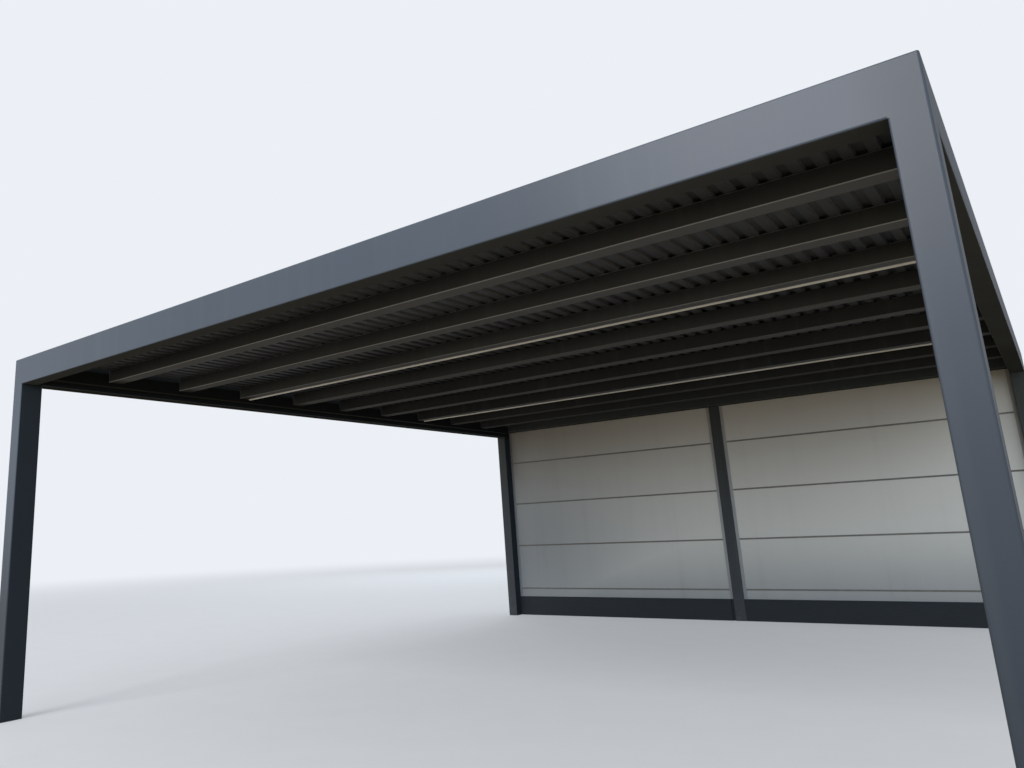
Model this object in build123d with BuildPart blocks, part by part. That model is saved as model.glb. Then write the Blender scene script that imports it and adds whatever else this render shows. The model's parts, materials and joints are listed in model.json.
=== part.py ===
"""A flat-roofed double carport: a frame of box sections with a boarded wall at its back.

Lengths are in millimetres. X runs across the carport, Y from its front to its back, Z up. The
origin is on the ground, in the middle of the plan.
"""
from build123d import *
import os

# Whole size
overall_width = 6000.0
overall_depth = 6880.0
frame_height = 2570.0

# Box sections of the frame, where the posts are as wide as the beams on them
tube_wall = 5.0
beam_width = 120.0
beam_height = 200.0
post_depth = 160.0
foot_plate = 8.0
rear_beam_height = 140.0
corner_radius = 8.0

# Roof bars, spread evenly between the front and the rear beam
purlin_count = 9
purlin_width = 120.0
purlin_height = 100.0
purlin_wall = 3.0
purlin_radius = 6.0
purlin_drop = 25.0

# Rail along the left beam that the roof bars end on, a little lower than they are
rail_width = 64.0
rail_height = 100.0
rail_drop = 30.0

# Roof sheets, folded in ribs that run from front to back. They end over the rail's inner face,
# so that a gap as wide as the rail stays open beside the left beam.
ribs_per_sheet = [10, 10, 10, 10, 10, 9]
rib_height = 20.0
rib_flat_share = 0.41
valley_flat_share = 0.47
sheet_thickness = 1.0
sheet_end_gap = 8.0
sheet_lap_gap = 0.4

# Strips of light under two of the roof bars
strip_width = 28.0
strip_height = 12.0
strip_end_gap = 90.0

# Rear wall of boards between the rear posts, with a post in its middle. The boards share the
# height over the plinth: a narrow one, three full ones and one cut to fit under the beam.
wall_post_width = 120.0
wall_post_proud = 20.0
board_thickness = 30.0
board_shares = [0.2, 1.0, 1.0, 1.0, 0.75]
plinth_height = 235.0
groove_height = 18.0
groove_depth = 12.0
edge_width = 34.0
edge_proud = 6.0
plinth_proud = 16.0
plinth_step_width = 30.0
plinth_step_depth = 14.0

# What follows from the sizes above
half_width = overall_width / 2
front_y = -overall_depth / 2
rear_y = overall_depth / 2
inner_x = half_width - beam_width
rear_beam_front_y = rear_y - post_depth
purlin_pitch = (rear_beam_front_y - front_y) / (purlin_count + 1)
beam_bottom = frame_height - beam_height
rear_beam_bottom = frame_height - rear_beam_height
purlin_top = frame_height - purlin_drop
purlin_bottom = purlin_top - purlin_height
rail_x = rail_width - inner_x
roof_width = inner_x - rail_x
rib_pitch = roof_width / (sum(ribs_per_sheet) + valley_flat_share)
rib_flat = rib_flat_share * rib_pitch
valley_flat = valley_flat_share * rib_pitch
rib_flank = (rib_pitch - rib_flat - valley_flat) / 2
board_front_y = rear_y - board_thickness
wall_post_depth = board_thickness + wall_post_proud

os.makedirs("parts", exist_ok=True)


def save(piece, name):
    """Names a finished piece and writes it to its own file."""
    piece.part.label = name
    export_step(piece.part, f"parts/{name}.step")
    print(name, round(piece.part.volume / 1e6, 3), "litres")


def make_post(name, side, y_middle):
    """A corner post: a box section that its foot plate closes, open under the beam."""
    x_middle = side * (half_width - beam_width / 2)
    with BuildPart() as post:
        with BuildSketch():
            with Locations((x_middle, y_middle)):
                Rectangle(beam_width, post_depth)
        extrude(amount=beam_bottom)
        fillet(post.edges().filter_by(Axis.Z), corner_radius)
        with BuildSketch(Plane.XY.offset(foot_plate)):
            with Locations((x_middle, y_middle)):
                Rectangle(beam_width - 2 * tube_wall, post_depth - 2 * tube_wall)
        extrude(amount=beam_bottom, mode=Mode.SUBTRACT)
    save(post, name)


def edge_waste(width, height):
    """The profile of what rounding takes off the four long edges of a bar."""
    Rectangle(width, height)
    RectangleRounded(width, height, corner_radius, mode=Mode.SUBTRACT)


def make_front_beam():
    """The front beam, from outer face to outer face over the two front posts."""
    middle = (front_y + beam_width / 2, frame_height - beam_height / 2)
    with BuildPart() as front_beam:
        with BuildSketch(Plane.YZ.offset(-half_width)):
            with Locations(middle):
                Rectangle(beam_width, beam_height)
        extrude(amount=overall_width)
        # The edges that show: the upright front ones and those round the top at the front and the ends
        upright = front_beam.edges().filter_by(Axis.Z).group_by(Axis.Y)[0]
        top = front_beam.edges().group_by(Axis.Z)[-1]
        fillet(upright + top.sort_by(Axis.Y)[:-1], corner_radius)
        # Between the posts and the side beams every long edge is rounded
        with BuildSketch(Plane.YZ.offset(-inner_x)):
            with Locations(middle):
                edge_waste(beam_width, beam_height)
        extrude(amount=2 * inner_x, mode=Mode.SUBTRACT)
        with BuildSketch(Plane.YZ.offset(tube_wall - half_width)):
            with Locations(middle):
                Rectangle(beam_width - 2 * tube_wall, beam_height - 2 * tube_wall)
        extrude(amount=overall_width - 2 * tube_wall, mode=Mode.SUBTRACT)
    save(front_beam, "front_beam")


def make_side_beam(name, side):
    """A side beam, from the back of the front beam over the rear post, closed at the back."""
    middle = (side * (half_width - beam_width / 2), frame_height - beam_height / 2)
    start_y = front_y + beam_width
    with BuildPart() as side_beam:
        with BuildSketch(Plane.XZ.offset(-rear_y)):
            with Locations(middle):
                Rectangle(beam_width, beam_height)
        extrude(amount=rear_y - start_y)
        outer = side_beam.edges().group_by(Axis.X)[-1 if side > 0 else 0]
        upright = outer.filter_by(Axis.Z).sort_by(Axis.Y)[-1:]
        outer_top = outer.filter_by(Axis.Y).sort_by(Axis.Z)[-1:]
        rear_top = side_beam.edges().filter_by(Axis.X).group_by(Axis.Z)[-1].sort_by(Axis.Y)[-1:]
        fillet(upright + outer_top + rear_top, corner_radius)
        # Between the posts every long edge is rounded
        with BuildSketch(Plane.XZ.offset(-(rear_y - post_depth))):
            with Locations(middle):
                edge_waste(beam_width, beam_height)
        extrude(amount=overall_depth - 2 * post_depth, mode=Mode.SUBTRACT)
        with BuildSketch(Plane.XZ.offset(tube_wall - rear_y)):
            with Locations(middle):
                Rectangle(beam_width - 2 * tube_wall, beam_height - 2 * tube_wall)
        extrude(amount=overall_depth, mode=Mode.SUBTRACT)
    save(side_beam, name)


def make_rear_beam():
    """The rear beam, lower than the others, between the side beams and over the wall."""
    hollow = (post_depth - 2 * tube_wall, rear_beam_height - 2 * tube_wall)
    with BuildPart() as rear_beam:
        with BuildSketch(Plane.YZ.offset(-inner_x)):
            with Locations((rear_y - post_depth / 2, frame_height - rear_beam_height / 2)):
                RectangleRounded(post_depth, rear_beam_height, corner_radius)
                Rectangle(*hollow, mode=Mode.SUBTRACT)
        extrude(amount=2 * inner_x)
    save(rear_beam, "rear_beam")


def purlin_front(number):
    """The front face of a roof bar, counted from the front beam."""
    return front_y + number * purlin_pitch


def make_left_rail():
    """The rail along the left beam: a box section from the front beam to the rear beam."""
    start_y = front_y + beam_width
    middle = (rail_x - rail_width / 2, purlin_top - rail_drop - rail_height / 2)
    with BuildPart() as left_rail:
        with BuildSketch(Plane.XZ.offset(-start_y)):
            with Locations(middle):
                Rectangle(rail_width, rail_height)
                Rectangle(rail_width - 2 * purlin_wall, rail_height - 2 * purlin_wall, mode=Mode.SUBTRACT)
        extrude(amount=start_y - rear_beam_front_y)
    save(left_rail, "left_rail")


def make_purlin(number):
    """One roof bar: a box section from the rail to the right beam, capped over the rail."""
    middle = (purlin_front(number) + purlin_width / 2, purlin_top - purlin_height / 2)
    with BuildPart() as purlin:
        with BuildSketch(Plane.YZ.offset(rail_x)):
            with Locations(middle):
                RectangleRounded(purlin_width, purlin_height, purlin_radius)
        extrude(amount=roof_width)
        with BuildSketch(Plane.YZ.offset(rail_x + purlin_wall)):
            with Locations(middle):
                Rectangle(purlin_width - 2 * purlin_wall, purlin_height - 2 * purlin_wall)
        extrude(amount=roof_width, mode=Mode.SUBTRACT)
    save(purlin, f"purlin_{number}")


def make_light_strip(name, number):
    """A slim strip of light under a roof bar, along its rear edge."""
    rear_edge = purlin_front(number) + purlin_width - purlin_radius
    length = 2 * (inner_x - strip_end_gap)
    with BuildPart() as strip:
        with BuildSketch(Plane.YZ.offset(-length / 2)):
            with Locations((rear_edge - strip_width / 2, purlin_bottom - strip_height / 2)):
                Rectangle(strip_width, strip_height)
        extrude(amount=length)
    save(strip, name)


def rib_line(first_x, ribs, z):
    """The folded line of a sheet's underside, from right to left."""
    points = [(first_x, z)]
    x = first_x
    for _ in range(ribs):
        x_up = x - valley_flat / 2
        points.append((x_up, z))
        points.append((x_up - rib_flank, z + rib_height))
        points.append((x_up - rib_flank - rib_flat, z + rib_height))
        points.append((x_up - 2 * rib_flank - rib_flat, z))
        x = x - rib_pitch
    points.append((x, z))
    return points


def make_roof_sheet(number, first_x, ribs):
    """One folded sheet on top of the roof bars."""
    start_y = front_y + beam_width + sheet_end_gap
    length = rear_beam_front_y - sheet_end_gap - start_y
    under = rib_line(first_x, ribs, purlin_top)
    under[-1] = (under[-1][0] + sheet_lap_gap, under[-1][1])
    # The first and the last valley of the roof keep their whole width
    if number == 1:
        under[0] = (inner_x, purlin_top)
    if number == len(ribs_per_sheet):
        under[-1] = (rail_x, purlin_top)
    over = [(x, z + sheet_thickness) for x, z in reversed(under)]
    with BuildPart() as sheet:
        with BuildSketch(Plane.XZ.offset(-start_y)):
            with BuildLine():
                Polyline(*under, *over, close=True)
            make_face()
        extrude(amount=-length)
    save(sheet, f"roof_sheet_{number}")


def make_wall_post():
    """The post in the middle of the rear wall, under the rear beam."""
    with BuildPart() as wall_post:
        with BuildSketch():
            with Locations((0, rear_y - wall_post_depth / 2)):
                Rectangle(wall_post_width, wall_post_depth)
        extrude(amount=rear_beam_bottom)
        fillet(wall_post.edges().filter_by(Axis.Z), corner_radius)
        with BuildSketch(Plane.XY.offset(foot_plate)):
            with Locations((0, rear_y - wall_post_depth / 2)):
                Rectangle(wall_post_width - 2 * tube_wall, wall_post_depth - 2 * tube_wall)
        extrude(amount=rear_beam_bottom, mode=Mode.SUBTRACT)
    save(wall_post, "wall_post")


def wall_box(name, x_low, x_high, y_low, z_low, z_high, groove=False):
    """An upright slab of the rear wall. A groove along its top edge shows as the joint."""
    with BuildPart() as slab:
        with BuildSketch(Plane.XY.offset(z_low)):
            with Locations(((x_low + x_high) / 2, (y_low + rear_y) / 2)):
                Rectangle(x_high - x_low, rear_y - y_low)
        extrude(amount=z_high - z_low)
        if groove:
            with BuildSketch(Plane.XY.offset(z_high - groove_height)):
                with Locations(((x_low + x_high) / 2, y_low + groove_depth / 2)):
                    Rectangle(x_high - x_low, groove_depth)
            extrude(amount=groove_height, mode=Mode.SUBTRACT)
    save(slab, name)


def board_levels():
    """The lower edge of each board from the plinth up, and the top of the last one."""
    full_board = (rear_beam_bottom - plinth_height) / sum(board_shares)
    levels = [plinth_height]
    for share in board_shares:
        levels.append(levels[-1] + share * full_board)
    return levels


def make_plinth(name, x_low, x_high, step_x=None):
    """The dark board along the ground. A step in its face can mark where it meets the post."""
    thickness = board_thickness + plinth_proud
    with BuildPart() as plinth:
        with BuildSketch():
            with Locations(((x_low + x_high) / 2, rear_y - thickness / 2)):
                Rectangle(x_high - x_low, thickness)
        extrude(amount=plinth_height)
        if step_x is not None:
            with BuildSketch():
                with Locations((step_x, rear_y - thickness + plinth_step_depth / 2)):
                    Rectangle(plinth_step_width, plinth_step_depth)
            extrude(amount=plinth_height, mode=Mode.SUBTRACT)
    save(plinth, name)


def make_wall_bay(side, word):
    """The boards of one half of the rear wall, with an upright edge at either end."""
    outer = side * inner_x
    inner = side * wall_post_width / 2
    for place, x, inward in (("outer", outer, -side), ("inner", inner, side)):
        x_low, x_high = sorted((x, x + inward * edge_width))
        edge_y = board_front_y - edge_proud
        wall_box(f"{word}_{place}_edge", x_low, x_high, edge_y, plinth_height, rear_beam_bottom)
    x_low, x_high = sorted((outer - side * edge_width, inner + side * edge_width))
    levels = board_levels()
    for row, (low, high) in enumerate(zip(levels, levels[1:]), start=1):
        has_groove = row < len(board_shares)
        wall_box(f"{word}_board_{row}", x_low, x_high, board_front_y, low, high, has_groove)


# The frame
front_post_y = front_y + post_depth / 2
rear_post_y = rear_y - post_depth / 2
make_post("front_left_post", -1, front_post_y)
make_post("front_right_post", 1, front_post_y)
make_post("rear_left_post", -1, rear_post_y)
make_post("rear_right_post", 1, rear_post_y)
make_front_beam()
make_side_beam("left_beam", -1)
make_side_beam("right_beam", 1)
make_rear_beam()

# The roof
make_left_rail()
for purlin_number in range(1, purlin_count + 1):
    make_purlin(purlin_number)
make_light_strip("light_strip_front", 3)
make_light_strip("light_strip_rear", 7)
sheet_x = inner_x - valley_flat / 2
for sheet_number, sheet_ribs in enumerate(ribs_per_sheet, start=1):
    make_roof_sheet(sheet_number, sheet_x, sheet_ribs)
    sheet_x -= sheet_ribs * rib_pitch

# The rear wall
make_wall_post()
make_wall_bay(-1, "left")
make_wall_bay(1, "right")
post_edge = wall_post_width / 2
make_plinth("left_plinth", -inner_x, -post_edge, step_x=-post_edge - plinth_step_width / 2)
make_plinth("right_plinth", post_edge, inner_x)
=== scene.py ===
# %% [markdown]
# # A carport, dressed
# The carport is an open frame of dark box sections. It carries a folded sheet roof on nine roof
# bars, two slim strips of light under the bars, and a pale boarded wall at its back. The packed
# model already holds these shapes at their real sizes, so nothing here changes them. This lesson
# gives each one its finish and adds the small things that a solid model leaves out.

import json
import math

import bmesh
import bpy
from mathutils import Matrix, Vector


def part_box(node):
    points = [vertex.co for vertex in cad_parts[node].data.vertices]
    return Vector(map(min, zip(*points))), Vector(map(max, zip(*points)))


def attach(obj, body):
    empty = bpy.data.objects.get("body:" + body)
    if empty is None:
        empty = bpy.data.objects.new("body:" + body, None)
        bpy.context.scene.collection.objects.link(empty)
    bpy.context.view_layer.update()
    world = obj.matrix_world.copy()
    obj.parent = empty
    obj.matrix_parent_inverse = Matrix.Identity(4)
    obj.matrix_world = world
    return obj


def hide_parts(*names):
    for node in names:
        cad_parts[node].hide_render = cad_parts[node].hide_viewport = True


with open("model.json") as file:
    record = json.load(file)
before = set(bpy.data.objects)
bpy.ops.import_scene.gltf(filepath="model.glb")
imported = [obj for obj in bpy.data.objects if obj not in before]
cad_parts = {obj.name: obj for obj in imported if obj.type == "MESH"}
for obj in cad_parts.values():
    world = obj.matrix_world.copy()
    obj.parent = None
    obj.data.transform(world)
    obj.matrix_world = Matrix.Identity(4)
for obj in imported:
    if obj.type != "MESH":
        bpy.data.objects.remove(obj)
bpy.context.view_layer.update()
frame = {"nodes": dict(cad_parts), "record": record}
nodes = frame["nodes"]

# %% [markdown]
# ## The camera
# A photograph fixes where its camera stood, how it was turned and how wide it saw. These values
# come from a fit of the carport's straight edges, so that the render and the photograph can be laid
# over each other. The small shift moves the picture on its film, as a cropped photograph needs.

# %% Camera
eye = Vector((3.1205, -6.2449, 1.1517))
yaw, pitch, roll = (math.radians(angle) for angle in (38.126, 13.153, -2.721))
camera_data = bpy.data.cameras.new("camera")
camera_data.lens = 28.15
camera_data.shift_x = 0.0929
camera_data.shift_y = -0.0393
camera = bpy.data.objects.new("camera", camera_data)
upright = Matrix.Rotation(yaw, 4, "Z") @ Matrix.Rotation(math.pi / 2 + pitch, 4, "X")
camera.matrix_world = Matrix.Translation(eye) @ upright @ Matrix.Rotation(roll, 4, "Z")
bpy.context.scene.collection.objects.link(camera)
bpy.context.scene.camera = camera
bpy.context.scene.view_settings.view_transform = "Standard"
print("camera at", tuple(round(v, 3) for v in eye), "with a", camera_data.lens, "mm lens")

# %% [markdown]
# ## Sums on sockets
# A finish is worked out by many small Math nodes, which are slow to write one by one. A class that
# wraps a socket can take the usual signs instead, so that `1 - mask` adds its own node. The
# reflected forms let a plain number stand first. Every other kind of node comes from one method.


# %% A socket that can be added and multiplied
class Signal:
    """A socket of a finish. Sums on it add the Math nodes that they need."""

    def __init__(self, socket):
        self.socket = socket

    def node(self, kind, settings=None, sockets=None, out=0):
        """Adds a node: first its settings, then the values or links of its sockets."""
        tree = self.socket.id_data
        made = tree.nodes.new(kind)
        for name, value in (settings or {}).items():
            setattr(made, name, value)
        for name, value in (sockets or {}).items():
            if isinstance(value, Signal):
                tree.links.new(value.socket, made.inputs[name])
            else:
                made.inputs[name].default_value = value
        return Signal(made.outputs[out])

    def math(self, operation, first, second, clamp=False):
        """One Math node on two values or signals."""
        settings = {"operation": operation, "use_clamp": clamp}
        return self.node("ShaderNodeMath", settings, {0: first, 1: second})

    def __add__(self, other):
        return self.math("ADD", self, other)

    def __sub__(self, other):
        return self.math("SUBTRACT", self, other)

    def __rsub__(self, other):
        return self.math("SUBTRACT", other, self)

    def __mul__(self, other):
        return self.math("MULTIPLY", self, other)

    __radd__ = __add__
    __rmul__ = __mul__

    def rise(self, low, high):
        """0 below the low value, 1 above the high one, and a smooth step between them."""
        limits = {"Value": self, "From Min": low, "From Max": high}
        return self.node("ShaderNodeMapRange", {"interpolation_type": "SMOOTHSTEP"}, limits)

    def parts(self):
        """The X, Y and Z of this vector."""
        split = self.node("ShaderNodeSeparateXYZ", None, {"Vector": self}).socket.node
        return [Signal(output) for output in split.outputs]

    def tint(self, low_colour, high_colour):
        """A colour between two others, by this signal."""
        colours = {0: self, 6: low_colour, 7: high_colour}
        return self.node("ShaderNodeMix", {"data_type": "RGBA"}, colours, out=2)

    def noise(self, scale, detail, stretch=(1.0, 1.0, 1.0), seed=0.0):
        """Cloudy noise at this point. A small stretch along an axis draws it out that way."""
        sockets = {"Vector": self, "Scale": stretch, "Location": (seed, seed, seed)}
        point = self.node("ShaderNodeMapping", None, sockets)
        return self.node("ShaderNodeTexNoise", None, {"Vector": point, "Scale": scale, "Detail": detail})


print("a Signal adds", len([name for name in dir(Signal) if name.startswith("__r")]), "reflected forms")

# %% [markdown]
# ## Colours and an empty finish
# Colours are easier to judge as they read on a screen, from 0 to 255, so a helper turns those into
# the linear values that a shader takes. Every finish starts from the same three things: a
# material, its shader, and the point on the object that its patterns are worked out from.


# %% A colour as it reads on a screen, and a new finish
def tone(red, green, blue):
    """The linear colour, with full alpha, of a colour that is given as it reads on a screen."""
    linear = [((value / 255 + 0.055) / 1.055) ** 2.4 for value in (red, green, blue)]
    return (*linear, 1.0)


def new_finish(name):
    """A material with its shader, and the point on the object as a signal."""
    finish = bpy.data.materials.new(name)
    finish.use_nodes = True
    shader = finish.node_tree.nodes["Principled BSDF"]
    point = finish.node_tree.nodes.new("ShaderNodeTexCoord").outputs["Object"]
    return finish, shader, Signal(point)


def feed(shader, **sockets):
    """Gives the shader its values and links. A name's underscores stand for spaces."""
    for name, value in sockets.items():
        socket = shader.inputs[name.replace("_", " ")]
        if isinstance(value, Signal):
            socket.id_data.links.new(value.socket, socket)
        else:
            socket.default_value = value


print("a mid grey of 128 is", round(tone(128, 128, 128)[0], 3), "in linear light")

# %% [markdown]
# ## Floor, sky and lamps
# The floor and the sky are plain and pale. A floor this pale would throw more light up into the roof
# than it gets outdoors. That is why the rays that carry light between surfaces meet a darker floor
# and a dimmer sky, while the camera and every reflection see the pale ones.


# %% Rays that show the background
def shown_rays(tree):
    """1 for the rays that show a surface, and 0 for those that only carry its light."""
    rays = tree.nodes.new("ShaderNodeLightPath")
    shown = Signal(rays.outputs["Is Camera Ray"])
    for name in ("Is Glossy Ray", "Is Transmission Ray"):
        shown = shown.math("ADD", shown, Signal(rays.outputs[name]), clamp=True)
    return shown


world = bpy.data.worlds.new("sky")
world.use_nodes = True
bpy.context.scene.world = world
background = world.node_tree.nodes["Background"]
sky_light = 0.5
sky_tone = tone(236, 240, 246)
strength = shown_rays(world.node_tree) * (1.0 - sky_light) + sky_light
feed(background, Color=sky_tone, Strength=strength)
print("the sky lights the object at", sky_light)

# %% [markdown]
# A floor that simply ends would draw a hard line behind the carport. Here its colour gives way with
# distance to a faint glow in the tone of the sky, so the two run into each other.

# %% Floor
floor_reach = 90.0
fade_distances = (9.0, 30.0)
near_glow = 0.32
floor_finish, floor_shader, floor_point = new_finish("floor_finish")
floor_shown = shown_rays(floor_finish.node_tree)
floor_grain = floor_point.noise(3.0, 4.0)
floor_pale = floor_grain.tint(tone(222, 224, 226), tone(230, 231, 233))
distance = floor_point.node("ShaderNodeVectorMath", {"operation": "LENGTH"}, {0: floor_point}, out="Value")
floor_fade = (near_glow + (1.0 - near_glow) * distance.rise(*fade_distances)) * floor_shown
black = (0.0, 0.0, 0.0, 1.0)
floor_colour = floor_fade.tint(floor_shown.tint(tone(180, 166, 142), floor_pale), black)
feed(floor_shader, Base_Color=floor_colour, Roughness=0.9, Specular_IOR_Level=0.0)
feed(floor_shader, Emission_Color=floor_fade.tint(black, sky_tone), Emission_Strength=1.0)
floor_mesh = bmesh.new()
bmesh.ops.create_grid(floor_mesh, x_segments=1, y_segments=1, size=floor_reach)
floor = bpy.data.objects.new("floor", bpy.data.meshes.new("floor"))
floor_mesh.to_mesh(floor.data)
floor_mesh.free()
floor.data.materials.append(floor_finish)
bpy.context.scene.collection.objects.link(floor)
print("the floor reaches", floor_reach, "m each way")

# %% [markdown]
# A carport's wall and the inner faces of its posts only see what comes in under the front beam. A
# wide lamp that stands far off and low, like a bright sky near the horizon, reaches them, and gives
# the wall its fall from bright at the foot to dim at the top. The other lamps only open the shadows.


# %% Lamps
def soft_lamp(name, place, width, height, watts, colour, mirrored=False):
    """A large lamp that points at the middle of the carport. The camera never sees it itself."""
    lamp_data = bpy.data.lights.new(name, "AREA")
    lamp_data.shape = "RECTANGLE"
    lamp_data.size = width
    lamp_data.size_y = height
    lamp_data.energy = watts
    lamp_data.color = colour
    lamp = bpy.data.objects.new(name, lamp_data)
    lamp.location = place
    towards = carport_middle - lamp.location
    lamp.rotation_euler = towards.to_track_quat("-Z", "Y").to_euler()
    lamp.visible_camera = False
    lamp.visible_glossy = mirrored
    bpy.context.scene.collection.objects.link(lamp)
    print(name, "gives", watts, "W from", place)


carport_middle = Vector((0.0, 0.0, 1.2))
cool = (0.82, 0.93, 1.0)
warm = (1.0, 0.96, 0.95)
soft_lamp("front_lamp", (10.0, -37.0, 8.0), 30.0, 13.0, 6400.0, cool)
soft_lamp("sky_lamp", (-2.5, -28.5, 16.5), 12.0, 12.0, 4400.0, warm, mirrored=True)
soft_lamp("side_lamp", (15.0, -7.0, 1.8), 8.0, 3.0, 260.0, cool)
soft_lamp("back_lamp", (-9.0, 13.0, 8.0), 9.0, 9.0, 500.0, cool)

# %% [markdown]
# ## Where a surface faces
# Dust lies on what faces up, rain never reaches what faces down, and a coat wears off on rounded
# edges, where it also stands in for a painted highlight. All three can be read from the direction that
# a surface faces, so no mask has to be painted by hand, and a finish keeps its masks if the frame
# changes its size.


# %% Masks from the direction of a surface
def face_direction(point):
    """The X, Y and Z of the direction that the surface faces."""
    return point.node("ShaderNodeNewGeometry", out="Normal").parts()


def facing(point, down=False):
    """1 where the surface faces up, or else down, and 0 where it is upright."""
    upward = face_direction(point)[2]
    if down:
        upward = upward * -1.0
    return upward.rise(0.55, 0.95)


def facing_front(point):
    """1 where the surface faces the open front."""
    return (face_direction(point)[1] * -1.0).rise(0.3, 0.7)


def on_corner(point):
    """1 on rounded edges, which face neither straight out nor straight up or down."""
    straight = 0.0
    for part in face_direction(point):
        straight = part.math("MAXIMUM", part.math("ABSOLUTE", part, 0.0), straight)
    return 1 - straight.rise(0.9, 0.99)


print("masks:", ", ".join(mask.__name__ for mask in (facing, facing_front, on_corner)))

# %% [markdown]
# ## The dark powder coat
# Grey powder is sprayed on the frame and baked to a satin skin. Up close the skin has a fine
# orange peel, the tube walls wave a little, rain leaves long faint runs down upright faces, and dust
# settles on what faces up and splashes up from the ground. Each of these is one noise with a mask.

# %% Dirt, orange peel and waves
splash_heights = (0.0, 0.38)


def coat_dirt(point):
    """How much dust and dirt lies on the coat."""
    height = point.parts()[2]
    runs = point.noise(1.0, 5.0, stretch=(14.0, 14.0, 0.5), seed=3.1).rise(0.5, 0.78)
    specks = point.noise(140.0, 2.0, seed=7.7).rise(0.62, 0.8)
    settled = facing(point) * (0.12 + 0.3 * point.noise(5.0, 5.0, seed=1.3))
    splashed = (1 - height.rise(*splash_heights)) * point.noise(26.0, 4.0, seed=5.2).rise(0.42, 0.7)
    dirt = settled.math("MAXIMUM", settled, splashed * 0.1)
    return dirt.math("MAXIMUM", dirt, runs * 0.04 + specks * 0.02)


def coat_bump(point):
    """A fine orange peel on tube walls that wave a little."""
    peel = point.noise(420.0, 2.0)
    waves = point.noise(3.2, 1.0, seed=2.4)
    sockets = {"Height": peel * 0.06 + waves, "Strength": 0.16, "Distance": 0.006}
    return point.node("ShaderNodeBump", None, sockets)


print("splashed dirt reaches", splash_heights[1], "m up the posts")

# %% [markdown]
# ## The dull film and painted shade on sheltered faces
# Rain never washes the undersides and the faces that look inwards, so a film of dust stays on them
# and takes their gloss away. The film's tone is partly that dust and partly painted light, and it is
# darkened as painted shade near the left beam, over the rear bars and high on inner faces. One shader
# can't be glossy and dull at once without a linked gloss socket, which an export would drop. A second
# shader without gloss, mixed in by a mask, keeps both.

# %% Dull film
bare_metal_glint = tone(184, 188, 195)
side_faces = (2.0, 2.8)
left_beam_edge = (-2.8, -2.6)
behind_front_beam = (-3.35, -3.2)
left_film_end = (-1.5, 2.0)
shaded_rear_bars = (1.3, 2.0)
beam_underside = (2.3, 2.42)


def dull_film_and_shade(point, coat, under, wear_and_glint, bump):
    """A shader without gloss for the sheltered faces, with painted shade in its colour, and the mask of
    those faces.
    """
    across, along, height = point.parts()
    outward = face_direction(point)[0] * across
    inner, outer = (outward * -1.0).rise(*side_faces), outward.rise(*side_faces)
    film_and_shade = point.noise(4.0, 5.0, seed=9.4).tint(tone(*under), tone(*[0.9 * value for value in under]))
    # Painted shade darkens the film near the left beam, mostly at the front, over the rear bars, and on
    # inner faces above the beams' undersides.
    left_shade = (1 - across.rise(*left_beam_edge)) * along.rise(*behind_front_beam)
    left_shade = left_shade * (1 - along.rise(*left_film_end))
    film_and_shade = (0.85 * left_shade).tint(film_and_shade, tone(46, 48, 48))
    film_and_shade = (0.5 * along.rise(*shaded_rear_bars)).tint(film_and_shade, tone(52, 53, 50))
    film_and_shade = wear_and_glint.tint(film_and_shade, bare_metal_glint)
    film_and_shade = inner.tint(film_and_shade, height.rise(*beam_underside).tint(tone(52, 59, 67), tone(34, 37, 38)))
    film_and_shade = outer.tint(film_and_shade, coat)
    dull = point.node("ShaderNodeBsdfPrincipled", None, {"Base Color": film_and_shade, "Specular IOR Level": 0.0})
    feed(dull.socket.node, Roughness=0.9, Normal=bump)
    sides = inner + 0.65 * outer
    return dull, sides.math("MAXIMUM", sides, facing(point, down=True))


print("the film grows darker behind", shaded_rear_bars[0], "m")

# %% [markdown]
# ## The coat as a whole
# The coat is painted lighter where more light falls: higher up on the frame, with its right edge
# painted darker, and towards the foot of the bars' sides and towards the front bars. The front bars
# have lost some coat along their edges, and there it also stands in for a painted highlight. The faces
# towards the front of the posts and the beam at the back carry painted shade, darker and warmer
# towards the top. What differs from part to part is handed in, so that one function makes all coats.

# %% Powder coat
shade_heights = (0.6, 2.4)
glint_worn_bars = (-2.2, -0.6)
cloud_share = 0.15


def powder_coat(name, dark, light, gloss, shine, glint_wear, painted_light, under, shade=0.0):
    """A satin coat, painted lighter where more light falls. Its undersides and sides carry a dull film
    with painted shade.
    """
    finish, shader, point = new_finish(name)
    across, along, height = point.parts()
    clouds = point.noise(0.9, 4.0).rise(0.3, 0.7)
    # The painted light says where the coat is painted lighter; the clouds are its own uneven tone.
    lit_and_clouded = (1.0 - cloud_share) * painted_light(across, along, height) + cloud_share * clouds
    coat = lit_and_clouded.tint(dark, light)
    # Painted shade: faces towards the front take a darker tone, warmer towards the top, by the share
    # shade.
    shaded = height.rise(*shade_heights).tint(tone(64, 68, 73), tone(53, 55, 52))
    coat = (facing_front(point) * shade).tint(coat, shaded)
    # Worn edges on the front bars, which also stand in for a painted highlight.
    wear_and_glint = on_corner(point) * (1 - along.rise(*glint_worn_bars)) * glint_wear
    coat = wear_and_glint.tint(coat, bare_metal_glint)
    dirt = coat_dirt(point)
    coat = dirt.tint(coat, tone(146, 145, 141))
    bump = coat_bump(point)
    feed(shader, Base_Color=coat, Roughness=gloss + clouds * 0.05 + dirt * 0.35, Normal=bump)
    feed(shader, Specular_IOR_Level=shine)
    dull, sheltered = dull_film_and_shade(point, coat, under, wear_and_glint, bump)
    both = {0: sheltered, 1: Signal(shader.outputs[0]), 2: dull}
    surface = point.node("ShaderNodeMixShader", None, both)
    output = finish.node_tree.nodes["Material Output"]
    finish.node_tree.links.new(surface.socket, output.inputs["Surface"])
    return finish


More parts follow.
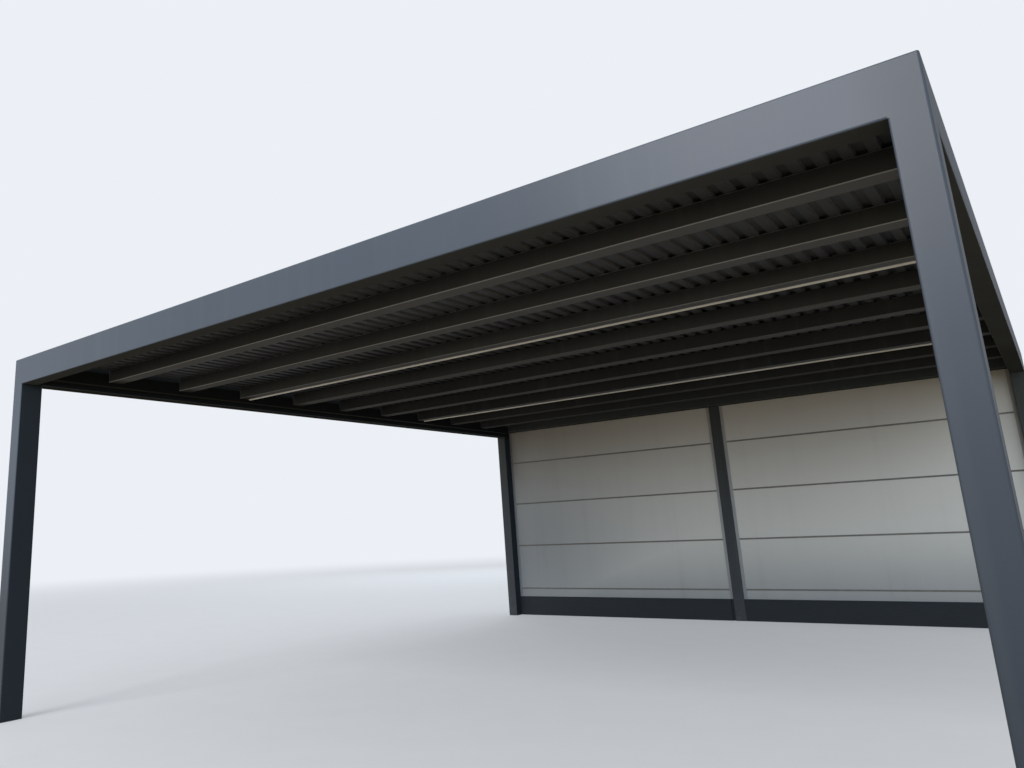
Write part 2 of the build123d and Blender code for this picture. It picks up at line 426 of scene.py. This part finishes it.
# %% The frame's coats
frame_dark, frame_light = tone(39, 45, 53), tone(71, 80, 92)
lit_heights = (0.5, 2.0)
right_edge = (2.75, 2.95)
bar_sides = (2.435, 2.55)
lit_bars = (-1.3, 0.0)
# Painted light: the frame is lighter higher up and painted darker at its right edge.
frame_coat = powder_coat(
    "frame_coat",
    frame_dark,
    frame_light,
    gloss=0.33,
    shine=0.34,
    glint_wear=0.0,
    painted_light=lambda across, along, height: (
        height.rise(*lit_heights) * (1 - 0.35 * across.rise(*right_edge))
    ),
    under=(74, 78, 82),
)
# Painted light: the bars are lighter towards the foot of their sides and towards the front.
bar_coat = powder_coat(
    "bar_coat",
    tone(49, 51, 53),
    tone(80, 83, 86),
    gloss=0.5,
    shine=0.05,
    glint_wear=0.72,
    painted_light=lambda across, along, height: (
        (1 - height.rise(*bar_sides)) * (1 - 0.9 * along.rise(*lit_bars))
    ),
    under=(106, 111, 121),
)
# The rear parts carry painted shade on their faces towards the front.
rear_coat = powder_coat(
    "rear_coat",
    frame_dark,
    frame_light,
    gloss=0.38,
    shine=0.24,
    glint_wear=0.0,
    painted_light=lambda across, along, height: height.rise(*lit_heights),
    under=(84, 88, 90),
    shade=0.95,
)
print("powder coats:", frame_coat.name, bar_coat.name, rear_coat.name)

# %% [markdown]
# ## The coated roof sheet
# The roof is thin steel, coated on a roll and then folded, so its skin is flatter and duller than
# powder coat. Along the folds it carries faint lines from the rolls and, on top, washed-out dust in
# the valleys. Noise that is drawn out along the folds gives both. Its steep sides are painted paler,
# most at the front, as painted light, and all but its top faces are painted darker to the left as
# painted shade.

# %% Roof sheet
lit_fold_reach = (-1.9, -1.5)
shaded_left_reach = (-2.0, 1.2)


def rolled_coat():
    """The skin of the folded sheets, painted paler on its steep sides and darker to the left, as light and
    shade.
    """
    finish, shader, point = new_finish("rolled_coat")
    across, along = point.parts()[:2]
    lines = point.noise(60.0, 3.0, stretch=(1.0, 0.02, 1.0))
    stains = point.noise(1.6, 5.0, stretch=(3.0, 0.6, 1.0), seed=4.4).rise(0.45, 0.75)
    settled = facing(point) * (0.22 + 0.2 * stains)
    skin = lines.tint(tone(58, 60, 63), tone(65, 67, 70))
    # Painted light: the steep sides of the folds are paler, most at the front.
    steep = 1 - (facing(point, down=True) + facing(point))
    skin = (steep * (1 - 0.6 * along.rise(*lit_fold_reach))).tint(skin, tone(98, 100, 103))
    # Painted shade: all but the top faces are darker to the left.
    skin = (0.45 * (1 - across.rise(*shaded_left_reach)) * (1 - facing(point))).tint(skin, tone(30, 31, 33))
    skin = (stains * 0.08).tint(skin, tone(118, 116, 110))
    skin = settled.tint(skin, tone(124, 124, 121))
    waves = point.noise(5.0, 2.0, stretch=(1.0, 0.5, 1.0), seed=8.0)
    bump = point.node("ShaderNodeBump", None, {"Height": waves, "Strength": 0.2, "Distance": 0.004})
    feed(shader, Base_Color=skin, Roughness=0.5 + stains * 0.2 + lines * 0.06, Normal=bump)
    feed(shader, Specular_IOR_Level=0.1)
    return finish


roof_coat = rolled_coat()
print("roof finish:", roof_coat.name)

# %% [markdown]
# ## The wall boards
# The boards at the back are pale grey with a fine matt grain along their length. Each board is a
# little lighter or darker than its neighbour, rain has drawn faint marks down them, and they are
# darker towards the ground. A white noise that is read once for each board gives its own tone.
# Their inner face carries painted shade, darker to the left, and painted warm bounced light towards
# the top.

# %% Board rows
board_rows = range(1, 6)
row_levels = sorted({round(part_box(f"left_board_{row}")[0].z, 4) for row in board_rows})
print("the boards start at", row_levels, "m")

# %% Wall boards
dark_foot_heights = (0.1, 1.05)
warm_bounce_heights = (1.3, 2.5)
left_half = (-3.0, 0.0)
dim_heights = (0.7, 1.9)
seam_edge = (0.001, 0.003)


def board_face(name, dark, light, dark_foot_share):
    """Matt board between two close tones, with grain, faint marks, a darker foot, and painted shade and
    warm light inside.
    """
    finish, shader, point = new_finish(name)
    across, _, height = point.parts()
    board = across.math("GREATER_THAN", across, 0.0) * 10.0
    for level in row_levels:
        board = board + height.math("GREATER_THAN", height, level)
    own = point.node("ShaderNodeTexWhiteNoise", {"noise_dimensions": "1D"}, {"W": board})
    grain = point.noise(46.0, 4.0, stretch=(0.12, 1.0, 3.0))
    marks = point.noise(1.0, 5.0, stretch=(11.0, 1.0, 0.6), seed=6.1).rise(0.48, 0.8)
    inside = facing_front(point)
    # Darker towards the ground, most on the inner face.
    low = (1 - height.rise(*dark_foot_heights)) * (0.85 + 0.15 * point.noise(3.0, 5.0, seed=2.2))
    low = dark_foot_share * low * (0.4 + 0.6 * inside)
    # Painted shade: the inner face is darker to the left, most towards its foot.
    left = 0.55 * (1 - across.rise(*left_half)) * (1.4 - 0.4 * height.rise(*dim_heights)) * inside
    face = (grain * 0.55 + own * 0.45).tint(dark, light)
    # The rain marks, the darker foot and the painted shade on the left all take this blue-grey.
    face = (marks * 0.04 + low.math("MAXIMUM", low, left)).tint(face, tone(110, 118, 128))
    # Painted warm bounced light towards the top of the inner face.
    face = (0.4 * height.rise(*warm_bounce_heights) * inside).tint(face, tone(130, 109, 76))
    for level in row_levels[1:]:
        away = height.math("ABSOLUTE", height - level, 0.0)
        seam = (1 - away.rise(*seam_edge)) * 0.6 * (1 - inside)
        face = seam.tint(face, tone(60, 60, 58))
    fine = {"Height": grain, "Strength": 0.25, "Distance": 0.0012}
    bump = point.node("ShaderNodeBump", None, fine)
    feed(shader, Base_Color=face, Roughness=0.62 + marks * 0.15, Normal=bump)
    return finish


board_coat = board_face("board_coat", tone(217, 217, 215), tone(225, 225, 223), 0.72)
edge_coat = board_face("edge_coat", tone(164, 166, 169), tone(172, 174, 177), 0.6)
print("wall finishes:", board_coat.name, edge_coat.name)

# %% [markdown]
# ## The dark board along the ground
# A dark board closes the gap between the wall and the ground. It stands where rain splashes, so it
# is matt, with a coarse grain and a pale crust of dust that thins out upwards.

# %% Ground board
crust_heights = (0.0, 0.2)


def ground_board():
    """A dark matt board with a coarse grain and a crust of dust at its foot."""
    finish, shader, point = new_finish("ground_board")
    height = point.parts()[2]
    grain = point.noise(70.0, 4.0, stretch=(0.25, 1.0, 1.5))
    crust = (1 - height.rise(*crust_heights)) * point.noise(18.0, 6.0, seed=9.1).rise(0.3, 0.72)
    face = grain.tint(tone(35, 40, 46), tone(44, 50, 56))
    face = (crust * 0.08).tint(face, tone(112, 108, 101))
    bump = point.node("ShaderNodeBump", None, {"Height": grain, "Strength": 0.3, "Distance": 0.002})
    feed(shader, Base_Color=face, Roughness=0.6 + crust * 0.3, Specular_IOR_Level=0.3, Normal=bump)
    return finish


plinth_coat = ground_board()
print("ground board finish:", plinth_coat.name)

# %% [markdown]
# ## Each imported part gets its finish
# The record says which slot each node belongs to, so one table from slot to finish dresses them all.
# The posts and the beam at the back are the exception, because their coat carries painted shade.
# The light strips get a coat here too, but they are made anew further down.

# %% Finishes on the imported parts
slot_finish = {
    "frame": frame_coat,
    "roof_bar": bar_coat,
    "roof_sheet": roof_coat,
    "wall_board": board_coat,
    "wall_edge": edge_coat,
    "plinth": plinth_coat,
}
shaded_parts = ("wall_post", "rear_left_post", "rear_right_post", "rear_beam")
for row in frame["record"]["subparts"]:
    finish = slot_finish.get(row["material_slot"], frame_coat)
    if row["node"] in shaded_parts:
        finish = rear_coat
    part = nodes[row["node"]]
    if not part.material_slots:
        part.data.materials.append(finish)
    for slot in part.material_slots:
        slot.material = finish

# %% [markdown]
# ## From a bmesh to a piece
# Each new piece is shaped in a bmesh, in metres and in its final place. The same few steps then turn
# it into an object that rides on the frame.


# %% A finished piece
def finished(shape, name, finish, slot):
    """Writes a bmesh to a new object that rides on the frame, and frees the bmesh."""
    bmesh.ops.recalc_face_normals(shape, faces=shape.faces[:])
    piece = bpy.data.objects.new(name, bpy.data.meshes.new(name))
    shape.to_mesh(piece.data)
    shape.free()
    piece.data.materials.append(finish)
    bpy.context.scene.collection.objects.link(piece)
    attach(piece, "root")
    print(name, "has", len(piece.data.polygons), "faces")
    return piece


def drawn_along_x(shape, outline, start_x, end_x):
    """Draws a closed outline of Y and Z points along the X axis."""
    corners = [shape.verts.new((start_x, y, z)) for y, z in outline]
    face = shape.faces.new(corners)
    grown = bmesh.ops.extrude_face_region(shape, geom=[face])
    moved = [item for item in grown["geom"] if isinstance(item, bmesh.types.BMVert)]
    bmesh.ops.translate(shape, verts=moved, vec=(end_x - start_x, 0.0, 0.0))


print("helpers:", finished.__name__, drawn_along_x.__name__)

# %% [markdown]
# ## The light strips
# Each strip is a slim aluminium channel that is screwed under a roof bar, with a milky cover that is
# pressed into it and bulges down a little. The covers come in lengths, so fine gaps show between
# them. A channel is one folded outline drawn along the bar, and a cover is a half round that is
# flattened and drawn out the same way.

# %% Channel and cover finishes
channel_finish, channel_shader, channel_point = new_finish("brushed_channel")
brushed = channel_point.noise(900.0, 2.0, stretch=(0.01, 1.0, 1.0))
channel_tone = brushed.tint(tone(150, 151, 152), tone(176, 177, 178))
feed(channel_shader, Base_Color=channel_tone, Metallic=1.0, Roughness=0.32 + brushed * 0.12)
cover_finish, cover_shader, cover_point = new_finish("milky_cover")
haze = cover_point.noise(7.0, 4.0, stretch=(0.5, 1.0, 1.0)).rise(0.3, 0.8)
cover_tone = haze.tint(tone(233, 234, 231), tone(219, 219, 214))
feed(cover_shader, Base_Color=cover_tone, Roughness=0.4 + haze * 0.15)
cap_finish, cap_shader, cap_point = new_finish("cap_plastic")
scuffs = cap_point.noise(90.0, 4.0).rise(0.4, 0.75)
cap_tone = scuffs.tint(tone(196, 196, 192), tone(178, 178, 173))
feed(cap_shader, Base_Color=cap_tone, Roughness=0.5 + scuffs * 0.1)
print("strip finishes:", channel_finish.name, cover_finish.name, cap_finish.name)

# %% Channel
channel_wall = 0.0012
lip_depth = 0.003
cap_length = 0.003


def strip_channel(node, low, high):
    """The folded channel between the two end caps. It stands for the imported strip."""
    lip_z = high.z - lip_depth
    inner_top = high.z - channel_wall
    outline = [
        (low.y, high.z),
        (low.y, lip_z),
        (low.y + channel_wall, lip_z),
        (low.y + channel_wall, inner_top),
        (high.y - channel_wall, inner_top),
        (high.y - channel_wall, lip_z),
        (high.y, lip_z),
        (high.y, high.z),
    ]
    channel = bmesh.new()
    drawn_along_x(channel, outline, low.x + cap_length, high.x - cap_length)
    piece = finished(channel, f"{node}_channel", channel_finish, "light_strip")
    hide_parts(node)


print("a channel's lips are", lip_depth, "m deep")

# %% Covers and caps
cover_lengths = 3
cover_gap = 0.0015
cover_seat = 0.0015
arc_steps = 10


def strip_covers(node, low, high):
    """The bulging covers in the channel, and a cap at each end."""
    lip_z = high.z - lip_depth
    start_x, end_x = low.x + cap_length, high.x - cap_length
    half = (high.y - low.y) / 2 - channel_wall
    middle = (low.y + high.y) / 2
    drop = lip_z - low.z
    arc = [math.pi * step / arc_steps for step in range(arc_steps + 1)]
    curve = [(middle - half * math.cos(turn), lip_z - drop * math.sin(turn)) for turn in arc]
    seat_z = lip_z + cover_seat
    profile = [*curve, (middle + half, seat_z), (middle - half, seat_z)]
    covers = bmesh.new()
    each = (end_x - start_x) / cover_lengths
    for index in range(cover_lengths):
        left_x, right_x = start_x + each * index, start_x + each * (index + 1)
        drawn_along_x(covers, profile, left_x + cover_gap / 2, right_x - cover_gap / 2)
    finished(covers, f"{node}_cover", cover_finish, "light_strip")

    rim = [(low.y, high.z), (low.y, lip_z), *curve[1:-1], (high.y, lip_z), (high.y, high.z)]
    caps = bmesh.new()
    drawn_along_x(caps, rim, low.x, start_x)
    drawn_along_x(caps, rim, end_x, high.x)
    finished(caps, f"{node}_caps", cap_finish, "light_strip")


for node in ("light_strip_front", "light_strip_rear"):
    low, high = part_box(node)
    strip_channel(node, low, high)
    strip_covers(node, low, high)

# %% [markdown]
# ## The seals in the wall's joints
# A grey rubber seal lines the joint between two boards and keeps rain out, so the joint reads as a
# darker line and not as a pale groove. Each one is a small channel that is drawn along its groove, a
# hair behind the boards' face.

# %% Seals
seal_finish, seal_shader, seal_point = new_finish("seal_rubber")
seal_bloom = seal_point.noise(60.0, 4.0, stretch=(0.3, 1.0, 1.0)).rise(0.4, 0.8)
seal_tone = seal_bloom.tint(tone(122, 121, 117), tone(142, 139, 133))
feed(seal_shader, Base_Color=seal_tone, Roughness=0.7 + seal_bloom * 0.15)
groove_height = 0.018
groove_depth = 0.012
rubber = 0.0015
setback = 0.0005


def joint_seals(half):
    """The seals of one half of the wall, in the groove along the top of each board but the last."""
    seals = bmesh.new()
    for row in board_rows[:-1]:
        low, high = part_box(f"{half}_board_{row}")
        front, back = low.y + setback, low.y + groove_depth
        foot, top = high.z - groove_height, high.z
        outline = [
            (front, foot),
            (back, foot),
            (back, top),
            (front, top),
            (front, top - rubber),
            (back - rubber, top - rubber),
            (back - rubber, foot + rubber),
            (front, foot + rubber),
        ]
        drawn_along_x(seals, outline, low.x, high.x)
    finished(seals, f"{half}_joint_seals", seal_finish, "plinth")


joint_seals("left")
joint_seals("right")

# %% [markdown]
# ## The roof screws
# The folded sheets are held down by hex screws with a rubber washer, through every second valley
# into each roof bar. There are hundreds of them, so each has only a few faces: an eight-sided
# washer and a six-sided head, made once for each place.

# %% Screw finish
screw_finish, screw_shader, screw_point = new_finish("zinc_screw")
bloom = screw_point.noise(160.0, 3.0).rise(0.35, 0.75)
screw_tone = bloom.tint(tone(150, 152, 154), tone(112, 110, 106))
feed(screw_shader, Base_Color=screw_tone, Metallic=0.8, Roughness=0.4 + bloom * 0.3)
print("screw finish:", screw_finish.name)

# %% Where the screws stand
purlins = [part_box(f"purlin_{number}") for number in range(1, 10)]
ribs_per_sheet = 10
valleys = 59
first_seam, second_seam = (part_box(f"roof_sheet_{number}")[1].x for number in (2, 3))
rib_pitch = (first_seam - second_seam) / ribs_per_sheet
sheet_thickness = 0.001
valley_z = purlins[0][1].z + sheet_thickness
screw_xs = [first_seam + (ribs_per_sheet - valley) * rib_pitch for valley in range(1, valleys, 2)]
print(len(screw_xs), "screws on each of", len(purlins), "bars, with", round(rib_pitch, 4), "m folds")


# %% Roof screws
washer = {"radius": 0.0095, "sides": 8, "tall": 0.0025}
head = {"radius": 0.0055, "sides": 6, "tall": 0.006}
narrower = 0.92


def turned(shape, foot, radius, sides, tall):
    """A washer or a screw head that stands on its foot and narrows a little to its top."""
    bmesh.ops.create_cone(
        shape,
        cap_ends=True,
        segments=sides,
        radius1=radius,
        radius2=radius * narrower,
        depth=tall,
        matrix=Matrix.Translation(foot) @ Matrix.Translation((0.0, 0.0, tall / 2)),
    )


screws = bmesh.new()
for low, high in purlins:
    y = (low.y + high.y) / 2
    for x in screw_xs:
        turned(screws, (x, y, valley_z), **washer)
        turned(screws, (x, y, valley_z + washer["tall"]), **head)
finished(screws, "roof_screws", screw_finish, "roof_sheet")

# %% [markdown]
# ## The weld beads
# Each roof bar is welded to the right beam all round its end. A bead follows the bar's rounded
# outline. It starts as a flat face of the bar's size with rounded corners, which is then drawn out
# towards the beam while it grows by the bead's width.

# %% Weld beads
bead = 0.005
bar_radius = 0.006


def weld_bead(shape, low, high):
    """A bead round the right end of a roof bar, on the face of the right beam."""
    tall, deep = high.z - low.z, high.y - low.y
    middle = Vector((high.x - bead, (low.y + high.y) / 2, (low.z + high.z) / 2))
    turn = Matrix.Rotation(math.pi / 2, 4, "Y") @ Matrix.Diagonal((tall / 2, deep / 2, 1.0, 1.0))
    start = Matrix.Translation(middle) @ turn
    made = bmesh.ops.create_grid(shape, x_segments=1, y_segments=1, size=1.0, matrix=start)
    rounded = bmesh.ops.bevel(
        shape,
        geom=made["verts"],
        affect="VERTICES",
        offset=bar_radius,
        segments=3,
        profile=0.5,
        material=-1,
    )
    outline = rounded["verts"][0].link_faces[0]
    grown = bmesh.ops.extrude_face_region(shape, geom=[outline], use_keep_orig=True)
    rim = [item for item in grown["geom"] if isinstance(item, bmesh.types.BMVert)]
    growth = Vector((1.0, 1 + 2 * bead / deep, 1 + 2 * bead / tall))
    bmesh.ops.scale(shape, vec=growth, space=Matrix.Translation(-middle), verts=rim)
    bmesh.ops.translate(shape, verts=rim, vec=(bead, 0.0, 0.0))


beads = bmesh.new()
for low, high in purlins:
    weld_bead(beads, low, high)
finished(beads, "weld_beads", bar_coat, "roof_bar")

# %% [markdown]
# ## Sizes and the end
# The dressed carport has to stay as large as the imported one.
